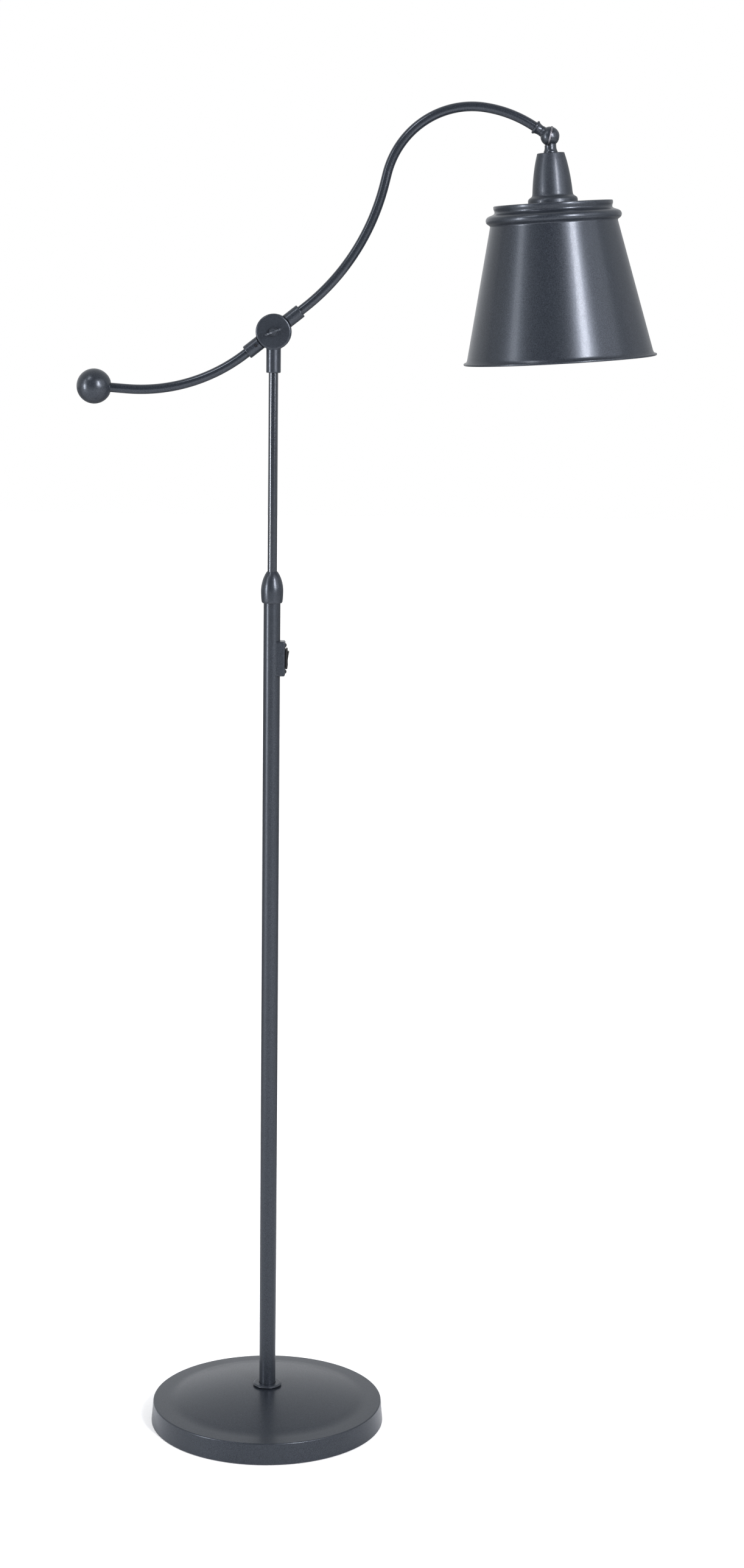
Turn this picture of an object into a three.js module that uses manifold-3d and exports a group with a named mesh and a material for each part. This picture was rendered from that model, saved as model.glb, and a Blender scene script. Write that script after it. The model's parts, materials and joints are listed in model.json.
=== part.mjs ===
// Pharmacy floor lamp: a weighted round base, a telescoping mast and a counterweighted bent arm
// that carries a metal shade on a split-ball knuckle. Millimetres, +Z up, origin on the floor
// under the mast, shade towards +X, front towards -Y.
import * as THREE from 'three';
import { mergeVertices } from 'three/addons/utils/BufferGeometryUtils.js';
import Module from 'manifold-3d';

const wasm = await Module();
wasm.setup();

// Driving dimensions
const GAP = 0.3; // play between pieces that touch
const ROUND = 16; // sides of a turned piece
const WIDE_ROUND = 32; // sides of the base and the shade

const BASE_R = 134.3; // outside radius at the foot of the base cover
const BASE_RIM_R = 132.2; // outside radius at the cover's upper rim
const BASE_RIM_Z = 25.2;
const BASE_TOP_Z = 42; // top of the dome, where the mast stands
const DOME_R = 403; // radius of the dome's curve
const COVER_WALL = 1;
const PAD_TOP = 2.5;
const WEIGHT_R = 129;
const WEIGHT_TOP = 20;
const INLET_Z = 12; // height of the cord inlet in the cover's rear wall

const POLE_R = 9.35; // lower tube, outside
const POLE_WALL = 1.2;
const POLE_TOP = 974.5;
const TUBE_R = 5.25; // upper tube and both arm tubes, outside
const TUBE_WALL = 1;
const TUBE_BOTTOM = 700;
const NIPPLE_R = 4.9; // threaded nipples

const SWITCH_Z = 894.4;
const SWITCH_HEIGHT = 38.8;
const SWITCH_DEPTH = 17.6;
const SWITCH_BACK_X = 2.7;
const SWITCH_FACE_X = 14.9;
const SWITCH_BEZEL = 2.4;
const ROCKER_TILT = 5; // degrees, rocker pressed in at its lower end

const COLLAR_Z = 956.3; // foot of the ogive coupling collar
const COLLAR_H = 34.5;

const PIVOT_Z = 1252.7;
const DISC_R = 19.5;
const LAP = 0.8; // each half of the pivot stops this far from the lap plane
const HALF_T = 8.2; // outside face of each half, from the lap plane
const SLEEVE_R = 7.7;
const SLEEVE_END = 37;
const MAST_SLEEVE_R = 8;
const MAST_SLEEVE_END = 44.3;
const SOCKET_START = 22; // a tube's end inside its sleeve, from the pivot's centre
const SET_SCREW_AT = 24;
const BOLT_R = 3;
const ARM_SLOPE = 38.2; // degrees, the arm sleeves' line above the horizontal
const MAST_SLOPE = -90;
const WING_SLOPE = 22; // degrees, the knob's wings above the horizontal

const ARM_END_SLOPE = -31; // degrees, the arm's fall at its outer end
const BALL_R = 19.4;
const BALL_SOCKET = 12; // depth of the arm tube inside the ball
const ARM_COLLAR_END = 5.2; // past the arm tube's end
const KNUCKLE_R = 10.3;
const KNUCKLE_REACH = 16.5; // from the arm tube's end to the knuckle's centre
const KNUCKLE_AXIS = -11; // degrees, the slope of the knuckle screw
const SEAM = 1.3; // each half ball's face, from the knuckle's centre plane

const HEAD_TILT = 4; // degrees, the shade's lean from the vertical
const CUP_TOP = 17.3; // heights in the head run down its axis from the knuckle's centre
const CUP_WALL = 1.1;
const SHADE_TOP = 70.4;
const SHADE_WALL = 0.8;
const SOCKET_R = 16.8;
const BULB_R = 30;

const rad = THREE.MathUtils.degToRad;
const point = (r, z) => new THREE.Vector2(r, z);
const corner = (x, y, z) => new THREE.Vector3(x, y, z);

// Materials
const metal = (color, roughness) => new THREE.MeshStandardMaterial({ color, roughness, metalness: 0.8 });
const dull = (color, roughness) => new THREE.MeshStandardMaterial({ color, roughness, metalness: 0 });
const paint = () => metal(0x4b4f59, 0.42);
const steel = () => metal(0x8f9296, 0.35);
const iron = () => metal(0x3a3b3d, 0.7);
const brass = () => metal(0xb08d4a, 0.35);
const blackPlastic = () => dull(0x141416, 0.4);
const whitePlastic = () => dull(0xd8d6cf, 0.5);
const felt = () => dull(0x1b1c1e, 0.95);

// Turns a closed outline of (radius, height) points about the Z axis.
function turned(points, sides = ROUND) {
  const outline = points[0].x === 0 ? points : [...points, points[0]];
  return new THREE.LatheGeometry(outline, sides).rotateX(Math.PI / 2);
}

// A turned ring or tube with a straight bore.
const ring = (inner, outer, low, high, sides = ROUND) =>
  turned([point(inner, low), point(outer, low), point(outer, high), point(inner, high)], sides);

// A solid round bar along Z.
const bar = (radius, low, high, sides = ROUND) =>
  turned([point(0, low), point(radius, low), point(radius, high), point(0, high)], sides);

function block(low, high) {
  const size = corner().subVectors(high, low);
  const middle = corner().addVectors(low, high).multiplyScalar(0.5);
  return new THREE.BoxGeometry(size.x, size.y, size.z).translate(middle.x, middle.y, middle.z);
}

function arc(centreR, centreZ, radius, fromDeg, toDeg, steps) {
  const points = [];
  for (let i = 0; i <= steps; i += 1) {
    const angle = rad(fromDeg + ((toDeg - fromDeg) * i) / steps);
    points.push(point(centreR + radius * Math.cos(angle), centreZ + radius * Math.sin(angle)));
  }
  return points;
}

// The closed outline of a sheet: the given skin, and a second skin one wall to its left.
function sheet(skin, wall) {
  const inner = skin.map((p, i) => {
    const before = skin[Math.max(i - 1, 0)];
    const after = skin[Math.min(i + 1, skin.length - 1)];
    const along = after.clone().sub(before).normalize();
    return point(p.x - along.y * wall, p.y + along.x * wall);
  });
  return [...skin, ...inner.reverse()];
}

function solid(geometry) {
  const bare = geometry.clone();
  bare.deleteAttribute('normal');
  bare.deleteAttribute('uv');
  const merged = mergeVertices(bare, 1e-4);
  return new wasm.Manifold(new wasm.Mesh({
    numProp: 3,
    vertProperties: new Float32Array(merged.attributes.position.array),
    triVerts: new Uint32Array(merged.index.array),
  }));
}

function surface(manifold) {
  const mesh = manifold.getMesh();
  const geometry = new THREE.BufferGeometry();
  geometry.setAttribute('position', new THREE.BufferAttribute(mesh.vertProperties, 3));
  geometry.setIndex(new THREE.BufferAttribute(mesh.triVerts, 1));
  geometry.computeVertexNormals();
  return geometry;
}

const joined = (first, ...others) =>
  surface(others.reduce((body, other) => body.add(solid(other)), solid(first)));
const cut = (first, ...tools) =>
  surface(tools.reduce((body, tool) => body.subtract(solid(tool)), solid(first)));

// Swings a piece made along +Z so that it runs along +Y (to the rear) or -Y (to the front).
const toRear = (geometry) => geometry.rotateX(-Math.PI / 2);
const toFront = (geometry) => toRear(geometry).rotateZ(Math.PI);
// Swings a piece made along +Z to a slope in the XZ plane, measured from +X towards +Z.
const alongSlope = (geometry, degrees) => geometry.rotateY(rad(90 - degrees));

// A centre line in the XZ plane made of straight runs and arcs, each leaving where the last ended.
class BentLine extends THREE.Curve {
  constructor(distance, slope, pieces) {
    super();
    const heading = rad(slope);
    this.end = { x: distance * Math.cos(heading), z: distance * Math.sin(heading), heading };
    this.spans = pieces.map(({ run, radius, to }) => {
      const turn = to === undefined ? 0 : rad(to) - this.end.heading;
      const span = { ...this.end, turn, length: run ?? Math.abs(turn) * radius };
      this.end = this.along(span, 1);
      return span;
    });
    this.total = this.spans.reduce((sum, span) => sum + span.length, 0);
  }

  along(span, share) {
    const half = (span.turn * share) / 2;
    const chord = span.length * share * (half === 0 ? 1 : Math.sin(half) / half);
    return {
      x: span.x + chord * Math.cos(span.heading + half),
      z: span.z + chord * Math.sin(span.heading + half),
      heading: span.heading + span.turn * share,
    };
  }

  getPoint(t, target = new THREE.Vector3()) {
    let left = t * this.total;
    let i = 0;
    while (i < this.spans.length - 1 && left > this.spans[i].length) {
      left -= this.spans[i].length;
      i += 1;
    }
    const place = this.along(this.spans[i], left / this.spans[i].length);
    return target.set(place.x, 0, place.z);
  }
}

// A round tube along a centre line.
function bentTube(line, steps) {
  const section = new THREE.Shape().absarc(0, 0, TUBE_R, 0, Math.PI * 2);
  section.holes.push(new THREE.Path().absarc(0, 0, TUBE_R - TUBE_WALL, 0, Math.PI * 2, true));
  return new THREE.ExtrudeGeometry(section, { extrudePath: line, steps, curveSegments: 6 });
}

// A hexagon nut with a plain bore.
const hexNut = (acrossCorners, bore, low, high) =>
  cut(bar(acrossCorners / 2, low, high, 6), bar(bore, low - 1, high + 1, 24));

function add(name, geometry, material, parent) {
  const mesh = new THREE.Mesh(geometry, material);
  mesh.name = name;
  parent.add(mesh);
  return mesh;
}

const lamp = new THREE.Group();

// Base: a spun steel cover over an iron weight, on a felt pad
function baseCover() {
  const skin = [
    point(BASE_R, 1),
    ...arc(BASE_RIM_R - 1.3, BASE_RIM_Z - 1.3, 1.3, 4, 84, 2),
    point(113, BASE_RIM_Z + 0.9),
    ...arc(0, BASE_TOP_Z - DOME_R, DOME_R, 74.8, 87.6, 4),
    point(NIPPLE_R + GAP, BASE_TOP_Z),
  ];
  const inletHole = toRear(bar(4.3, 100, 140, 16)).translate(0, 0, INLET_Z);
  return cut(turned(sheet(skin, COVER_WALL), WIDE_ROUND), inletHole);
}

function baseWeight() {
  const plate = turned([
    point(NIPPLE_R + GAP, PAD_TOP + GAP),
    point(WEIGHT_R, PAD_TOP + GAP),
    point(WEIGHT_R, WEIGHT_TOP - 2),
    point(WEIGHT_R - 3, WEIGHT_TOP),
    point(30, WEIGHT_TOP),
    point(26, BASE_TOP_Z - 2.4),
    point(NIPPLE_R + GAP, BASE_TOP_Z - 2.4),
  ], WIDE_ROUND);
  const nutRecess = bar(20, 0, 12);
  const cordGroove = block(corner(-4.5, 0, 0), corner(4.5, 140, 17));
  const inletPocket = block(corner(-8, 115, 0), corner(8, 140, 30));
  return cut(plate, nutRecess, cordGroove, inletPocket);
}

function cordInlet() {
  const flangeY = BASE_R - 0.1;
  const barrel = ring(2.6, 4, flangeY - 8.4, flangeY + 0.2, 16);
  const flange = ring(2.6, 6.4, flangeY, flangeY + 1.5, 16);
  return toRear(joined(barrel, flange)).translate(0, 0, INLET_Z);
}

add('felt_pad', bar(129.5, 0, PAD_TOP, WIDE_ROUND), felt(), lamp);
add('base_weight', baseWeight(), iron(), lamp);
add('base_cover', baseCover(), paint(), lamp);
add('cord_inlet_bush', cordInlet(), blackPlastic(), lamp);
add('base_nut', hexNut(19, NIPPLE_R + 0.2, 4.5, 9.9), steel(), lamp);
add('base_lock_washer', ring(NIPPLE_R + 0.2, 9.5, 10.2, 11.7), steel(), lamp);
add('mast_nipple', ring(3.6, NIPPLE_R, 4, 66, 24), steel(), lamp);

// The mast's foot, lower tube and coupling
function footRing() {
  const foot = BASE_TOP_Z + GAP;
  return turned([
    point(POLE_R + GAP, foot),
    point(15.6, foot),
    ...arc(15.3, foot + 1.35, 1.3, -60, 60, 2),
    point(14.6, foot + 2.7),
    point(POLE_R + GAP, foot + 2.7),
  ]);
}

const switchWindow = () =>
  block(corner(3, -6.4, SWITCH_Z - 9.6), corner(20, 6.4, SWITCH_Z + 9.6));

function couplingCollar() {
  const bore = POLE_R + GAP;
  const throat = TUBE_R + 0.45;
  const side = new THREE.QuadraticBezierCurve(
    point(12.4, COLLAR_Z + 13),
    point(12.2, COLLAR_Z + 25.5),
    point(6.1, COLLAR_Z + COLLAR_H),
  );
  return turned([
    point(bore, COLLAR_Z),
    point(10.9, COLLAR_Z),
    point(11.7, COLLAR_Z + 1.6),
    point(12.2, COLLAR_Z + 6),
    ...side.getPoints(5),
    point(throat, COLLAR_Z + COLLAR_H),
    point(throat, COLLAR_Z + 27.8),
    point(7.9, COLLAR_Z + 27.8),
    point(7.9, COLLAR_Z + 22.3),
    point(bore, COLLAR_Z + 22.3),
  ]);
}

function guideBush() {
  const bore = TUBE_R + 0.2;
  return turned([
    point(bore, COLLAR_Z - 4),
    point(7.95, COLLAR_Z - 4),
    point(7.95, POLE_TOP + GAP),
    point(9.3, POLE_TOP + GAP),
    point(9.3, COLLAR_Z + 21.9),
    point(7.6, COLLAR_Z + 21.9),
    point(7.6, COLLAR_Z + 27.4),
    point(bore, COLLAR_Z + 27.4),
  ]);
}

const poleBore = POLE_R - POLE_WALL;
const lowerTube = cut(ring(poleBore, POLE_R, BASE_TOP_Z + GAP, POLE_TOP), switchWindow());

add('foot_ring', footRing(), paint(), lamp);
add('pole_insert', ring(NIPPLE_R + 0.2, poleBore - 0.1, BASE_TOP_Z + 1, 62), steel(), lamp);
add('lower_tube', lowerTube, paint(), lamp);
add('coupling_collar', couplingCollar(), paint(), lamp);
add('guide_bush', guideBush(), whitePlastic(), lamp);

// Rocker switch in its saddle housing on the lower tube

// A block with a rounded outline in the YZ plane, centred on the switch, from one X to another.
function switchBlock(lowX, highX, width, height, radius) {
  const [w, h] = [width / 2 - radius, height / 2 - radius];
  const shape = new THREE.Shape();
  [[w, h], [-w, h], [-w, -h], [w, -h]].forEach(([y, z], quarter) => {
    shape.absarc(y, z, radius, (quarter * Math.PI) / 2, ((quarter + 1) * Math.PI) / 2);
  });
  shape.closePath();
  const options = { depth: highX - lowX, bevelEnabled: false, curveSegments: 2 };
  const body = new THREE.ExtrudeGeometry(shape, options);
  return body.rotateZ(Math.PI / 2).rotateY(Math.PI / 2).translate(lowX, 0, SWITCH_Z);
}

function switchHousing() {
  const body = switchBlock(SWITCH_BACK_X, SWITCH_FACE_X, SWITCH_DEPTH, SWITCH_HEIGHT, 2);
  const saddle = bar(POLE_R + GAP, SWITCH_Z - 30, SWITCH_Z + 30);
  const screwHoles = [1, -1].map((side) =>
    alongSlope(bar(1.5, 10, 20, 12), 0).translate(0, 0, SWITCH_Z + side * 14.8));
  return cut(body, saddle, switchWindow(), ...screwHoles);
}

function switchBody() {
  const flangeX = SWITCH_FACE_X + GAP;
  const body = block(corner(6.4, -6.1, SWITCH_Z - 9.3), corner(flangeX + 1, 6.1, SWITCH_Z + 9.3));
  const flange = switchBlock(flangeX, flangeX + SWITCH_BEZEL, 15, 22.4, 1.2);
  const rockerWell = block(corner(10.2, -5.1, SWITCH_Z - 9), corner(30, 5.1, SWITCH_Z + 9));
  return cut(joined(body, flange), rockerWell);
}

function switchRocker() {
  const shape = new THREE.Shape();
  shape.moveTo(-2, -8.2);
  shape.lineTo(3.6, -8.4);
  shape.quadraticCurveTo(4.7, -8.2, 4.6, -7);
  shape.lineTo(3.8, 0);
  shape.lineTo(4.6, 7);
  shape.quadraticCurveTo(4.7, 8.2, 3.6, 8.4);
  shape.lineTo(-2, 8.2);
  shape.closePath();
  const body = new THREE.ExtrudeGeometry(shape, { depth: 9.4, bevelEnabled: false, curveSegments: 4 });
  return body.translate(0, 0, -4.7).rotateX(Math.PI / 2).rotateY(rad(ROCKER_TILT));
}

function roundHeadScrew() {
  const sphere = 3.1;
  const headHeight = 1.4;
  return turned([
    point(0, -3.5),
    point(1.2, -3.5),
    point(1.2, 0),
    ...arc(0, headHeight - sphere, sphere, 33.3, 78, 3),
    point(0, headHeight),
  ], 16);
}

add('switch_housing', switchHousing(), paint(), lamp);
add('switch_body', switchBody(), blackPlastic(), lamp);
add('switch_rocker', switchRocker(), blackPlastic(), lamp).position.set(14, 0, SWITCH_Z);
for (const [name, side] of [['switch_screw_top', 1], ['switch_screw_bottom', -1]]) {
  const screw = add(name, roundHeadScrew(), steel(), lamp);
  screw.rotation.y = Math.PI / 2;
  screw.position.set(SWITCH_FACE_X + GAP, 0, SWITCH_Z + side * 14.8);
}

// Lap pivot: the yoke is the front half with the mast's sleeve, the hub the rear half with the
// two arm sleeves, and all three tubes lie in the XZ plane
const pivot = new THREE.Group();
pivot.position.z = PIVOT_Z;
lamp.add(pivot);

// One half disc and its sleeves. face swings it to the front or the rear.
function pivotHalf(face, sleeves, bores) {
  const disc = face(turned([
    point(BOLT_R + GAP, LAP),
    point(DISC_R, LAP),
    point(DISC_R, HALF_T - 2.2),
    point(DISC_R - 2.2, HALF_T),
    point(BOLT_R + GAP, HALF_T),
  ], WIDE_ROUND));
  const otherHalf = face(bar(DISC_R + 0.6, -12, LAP, WIDE_ROUND));
  const boltHole = face(bar(BOLT_R + GAP, -12, 12, 16));
  return cut(joined(disc, ...sleeves.map((part) => cut(part, otherHalf, boltHole))), ...bores);
}

const sleeve = (radius, end, slope) => alongSlope(turned([
  point(0, 10),
  point(radius, 10),
  point(radius, end - 1),
  point(radius - 1, end),
  point(0, end),
]), slope);
const tubeBore = (slope) => alongSlope(bar(TUBE_R + GAP, SOCKET_START - GAP, 60, 16), slope);

// Puts a piece made along +Z through a sleeve's wall, square to the XZ plane.
const throughSleeve = (geometry, slope, face) => face(geometry).translate(
  SET_SCREW_AT * Math.cos(rad(slope)),
  0,
  SET_SCREW_AT * Math.sin(rad(slope)),
);
const setScrewHole = (slope, face) => throughSleeve(bar(1.9, 4, 12, 10), slope, face);
const setScrew = (slope, face) =>
  throughSleeve(cut(bar(1.7, TUBE_R + GAP, 7.2, 10), bar(0.9, 6.2, 9, 6)), slope, face);

function pivotYoke() {
  const bores = [tubeBore(MAST_SLOPE), setScrewHole(MAST_SLOPE, toRear)];
  return pivotHalf(toFront, [sleeve(MAST_SLEEVE_R, MAST_SLEEVE_END, MAST_SLOPE)], bores);
}

function pivotHub() {
  const slopes = [ARM_SLOPE, ARM_SLOPE + 180];
  const bores = [setScrewHole(slopes[0], toRear), setScrewHole(slopes[1], toFront)];
  const sleeves = slopes.map((slope) => sleeve(SLEEVE_R, SLEEVE_END, slope));
  return pivotHalf(toRear, sleeves, [...slopes.map(tubeBore), ...bores]);
}

function tubeEndGrommet() {
  const spigot = ring(2.8, TUBE_R - TUBE_WALL - 0.1, TUBE_BOTTOM - 1, TUBE_BOTTOM + 8, 16);
  const flange = ring(2.8, TUBE_R - 0.1, TUBE_BOTTOM - 1.5, TUBE_BOTTOM - GAP, 16);
  return joined(spigot, flange);
}

function wingKnob() {
  const boss = turned([
    point(0, 0),
    point(5, 0),
    point(5, 1.6),
    point(4, 3),
    point(3.6, 6.5),
    point(0, 6.5),
  ], 24);
  const outline = new THREE.Shape();
  outline.moveTo(-3.4, 3);
  outline.bezierCurveTo(-10.2, 4, -10.6, 10, -9.4, 13);
  outline.quadraticCurveTo(-8, 16, -4.5, 13.6);
  outline.quadraticCurveTo(0, 10.6, 4.5, 13.6);
  outline.quadraticCurveTo(8, 16, 9.4, 13);
  outline.bezierCurveTo(10.6, 10, 10.2, 4, 3.4, 3);
  outline.closePath();
  const wings = new THREE.ExtrudeGeometry(outline, { depth: 2, bevelEnabled: false, curveSegments: 5 });
  wings.translate(0, 0, -1).rotateX(Math.PI / 2);
  return toFront(joined(boss, wings)).rotateY(rad(-WING_SLOPE));
}

const knobY = -HALF_T - GAP;
const nutStart = HALF_T + GAP;

add('upper_tube', ring(TUBE_R - TUBE_WALL, TUBE_R, TUBE_BOTTOM, PIVOT_Z - SOCKET_START, 24), paint(), lamp);
add('tube_end_grommet', tubeEndGrommet(), blackPlastic(), lamp);
add('pivot_yoke', pivotYoke(), paint(), pivot);
add('mast_set_screw', setScrew(MAST_SLOPE, toRear), steel(), pivot);
add('pivot_friction_washer', toRear(ring(BOLT_R + GAP, 17.5, -0.5, 0.5)), felt(), pivot);
add('pivot_hub', pivotHub(), paint(), pivot);
add('right_set_screw', setScrew(ARM_SLOPE, toRear), steel(), pivot);
add('left_set_screw', setScrew(ARM_SLOPE + 180, toFront), steel(), pivot);
add('pivot_nut', toRear(hexNut(11.5, BOLT_R + GAP, nutStart, nutStart + 4.7)), steel(), pivot);
add('wing_knob', wingKnob(), paint(), pivot).position.y = knobY;
add('pivot_bolt', toRear(bar(BOLT_R, knobY + GAP, nutStart + 5.5, 16)), steel(), pivot);

// The arm: two bent tubes, the counterweight on the left one and the knuckle on the right one
const leftLine = new BentLine(SOCKET_START, ARM_SLOPE + 180, [
  { run: 16 },
  { radius: 189, to: 176 },
  { run: 28 },
]);
const rightLine = new BentLine(SOCKET_START, ARM_SLOPE, [
  { run: 20.4 },
  { radius: 241, to: 76.4 },
  { run: 11 },
  { radius: 94, to: -7.5 },
  { radius: 134, to: ARM_END_SLOPE },
  { run: 6 },
]);

function counterweightBall(slope) {
  const ball = new THREE.SphereGeometry(BALL_R, 24, 14);
  return cut(ball, alongSlope(bar(TUBE_R + GAP, BALL_R - BALL_SOCKET, BALL_R + 5, 24), slope));
}

const { x: ballEndX, z: ballEndZ, heading: ballHeading } = leftLine.end;
const ballReach = BALL_R - BALL_SOCKET + GAP;
const ballSlope = THREE.MathUtils.radToDeg(ballHeading) - 180;

add('left_arm_tube', bentTube(leftLine, 12), paint(), pivot);
add('right_arm_tube', bentTube(rightLine, 28), paint(), pivot);
add('counterweight_ball', counterweightBall(ballSlope), paint(), pivot).position.set(
  ballEndX + ballReach * Math.cos(ballHeading),
  0,
  ballEndZ + ballReach * Math.sin(ballHeading),
);

// On the tube's end, with +Z pointing out along the arm
const armEnd = new THREE.Group();
armEnd.position.set(rightLine.end.x, 0, rightLine.end.z);
armEnd.rotation.y = rad(90 - ARM_END_SLOPE);
pivot.add(armEnd);

add('arm_lock_collar', turned([
  point(TUBE_R + GAP, -3),
  point(6.6, -3),
  point(7.4, -2.2),
  point(7.4, -0.8),
  point(6.3, 0.6),
  point(5.6, 2.8),
  point(5.5, ARM_COLLAR_END),
  point(4.4, ARM_COLLAR_END),
  point(4.4, GAP),
  point(TUBE_R + GAP, GAP),
]), paint(), armEnd);

// Knuckle: two half balls held by a screw, with a friction ring between them
const knuckle = new THREE.Group();
knuckle.position.z = KNUCKLE_REACH;
knuckle.rotation.y = -armEnd.rotation.y;
armEnd.add(knuckle);

const alongScrew = (geometry) => alongSlope(geometry, KNUCKLE_AXIS);
const screwHole = (radius, low, high) => alongScrew(bar(radius, low, high, 16));
const knuckleBall = () => new THREE.SphereGeometry(KNUCKLE_R, 20, 12);

function knuckleArmHalf() {
  const shoulder = KNUCKLE_REACH - ARM_COLLAR_END - GAP;
  const spigot = turned([
    point(0, 5),
    point(5.7, 5),
    point(5.7, shoulder),
    point(3.9, shoulder),
    point(3.9, KNUCKLE_REACH + 6),
    point(0, KNUCKLE_REACH + 6),
  ], 20);
  const farSide = alongScrew(bar(20, -SEAM, 20, 24));
  return cut(joined(knuckleBall(), alongSlope(spigot, ARM_END_SLOPE + 180)), farSide, screwHole(2.2, -6, 5));
}

function knuckleHeadHalf() {
  const neck = turned([
    point(0, 7),
    point(6.3, 7),
    point(6.3, 12.2),
    point(6.7, 14),
    point(7.6, 15.8),
    point(7.6, CUP_TOP - GAP),
    point(0, CUP_TOP - GAP),
  ], 24);
  const nippleBore = bar(NIPPLE_R + GAP, 12, 20, 24);
  const body = joined(knuckleBall(), alongSlope(neck, HEAD_TILT - 90));
  return cut(
    body,
    alongScrew(bar(KNUCKLE_R + 0.4, -20, SEAM)),
    alongScrew(bar(11.6, -SEAM, SEAM)),
    screwHole(2.3, -2, 12),
    screwHole(3.7, 5, 12),
    alongSlope(nippleBore, HEAD_TILT - 90),
  );
}

add('knuckle_arm_half', knuckleArmHalf(), paint(), knuckle);
add('knuckle_ring', alongScrew(ring(2.3, 11, -1, 1)), steel(), knuckle);
add('knuckle_screw', alongScrew(joined(bar(2, -5.5, 5.3, 16), bar(3.4, 5.1, 8.2, 16))), steel(), knuckle);
add('knuckle_head_half', knuckleHeadHalf(), paint(), knuckle);

// Head: cup, socket, shade and bulb, turned about an axis that runs down from the knuckle
const head = new THREE.Group();
head.rotation.y = rad(180 - HEAD_TILT);
knuckle.add(head);

function socketCup() {
  const side = new THREE.CubicBezierCurve(
    point(15.3, CUP_TOP + 2.6),
    point(18.6, CUP_TOP + 14),
    point(20.8, CUP_TOP + 28),
    point(21.9, CUP_TOP + 43),
  );
  const skin = [
    point(NIPPLE_R + GAP, CUP_TOP),
    point(13.6, CUP_TOP),
    point(14.8, CUP_TOP + 0.9),
    ...side.getPoints(4),
    point(23, CUP_TOP + 45.2),
    point(25.9, CUP_TOP + 48),
    point(26.9, CUP_TOP + 50.4),
    point(26.9, SHADE_TOP - GAP),
  ];
  return turned(sheet(skin, CUP_WALL));
}

function shadeShell() {
  const skin = [
    point(SOCKET_R + 0.6, SHADE_TOP),
    point(63, SHADE_TOP),
    point(64.8, SHADE_TOP + 0.8),
    point(64.6, SHADE_TOP + 2.2),
    point(64.1, SHADE_TOP + 6.8),
    point(66, SHADE_TOP + 9.2),
    ...arc(68.6, SHADE_TOP + 15.4, 4.9, -58, 50, 4),
    point(69, SHADE_TOP + 21.6),
    point(101.2, SHADE_TOP + 163),
    point(105.4, SHADE_TOP + 167),
    point(105.4, SHADE_TOP + 168.8),
    point(104, SHADE_TOP + 170),
  ];
  return turned(sheet(skin, SHADE_WALL), WIDE_ROUND);
}

function socketBody() {
  return turned([
    point(NIPPLE_R + GAP, 24),
    point(12.6, 24),
    point(14.2, 27),
    point(16.2, 36),
    point(SOCKET_R, 40),
    point(SOCKET_R, 84),
    point(14.6, 84),
    point(14.6, 50),
    point(4, 50),
    point(4, 30),
    point(NIPPLE_R + GAP, 30),
  ]);
}

function bulbCap() {
  return turned([
    point(0, 52),
    point(4.5, 52),
    point(5.2, 54),
    point(9.5, 56),
    point(13, 58),
    point(13, 80),
    point(11.2, 80),
    point(11.2, 85),
    point(0, 85),
  ], 24);
}

// The glass, as thick as wall says, from the cap to the round end.
function bulbOutline(wall, start) {
  const neckR = 12.4 - wall;
  const side = new THREE.CubicBezierCurve(
    point(neckR, 84),
    point(neckR + 0.6, 100),
    point(BULB_R - wall, 112),
    point(BULB_R - wall, 133),
  );
  return turned([
    point(0, start),
    point(neckR, start),
    ...side.getPoints(5),
    ...arc(0, 133, BULB_R - wall, 18, 72, 3),
    point(0, 133 + BULB_R - wall),
  ]);
}

add('head_nipple', ring(3.4, NIPPLE_R, 12.5, 27, 24), steel(), head);
add('cup_nut', hexNut(16, NIPPLE_R + 0.2, CUP_TOP + CUP_WALL + GAP, 22.4), steel(), head);
add('socket_cup', socketCup(), paint(), head);
add('socket_body', socketBody(), blackPlastic(), head);
add('socket_screw_shell', ring(13.4, 14.2, 51, 80, 24), brass(), head);
add('socket_contact', bar(5, 50.4, 51.3, 16), brass(), head);
add('shade', shadeShell(), paint(), head);
add('shade_ring', ring(SOCKET_R + 0.4, 22, SHADE_TOP + SHADE_WALL + GAP, 76), blackPlastic(), head);
add('bulb_cap', bulbCap(), brass(), head);
add('bulb_glass', cut(bulbOutline(0, 80.3), bulbOutline(0.8, 79)), dull(0xf4f3ee, 0.3), head);

export default lamp;
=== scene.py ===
"""Looks of a pharmacy floor lamp: fine metalwork, paint, plastics, studio floor, lights and camera.

Outlines and sizes are in millimetres in the CAD frame (+Z up, shade towards +X, front towards -Y);
each finished mesh is scaled to metres once, in add_piece.
"""
import json
import math

import bmesh
import bpy
from mathutils import Euler, Matrix, Vector

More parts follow.
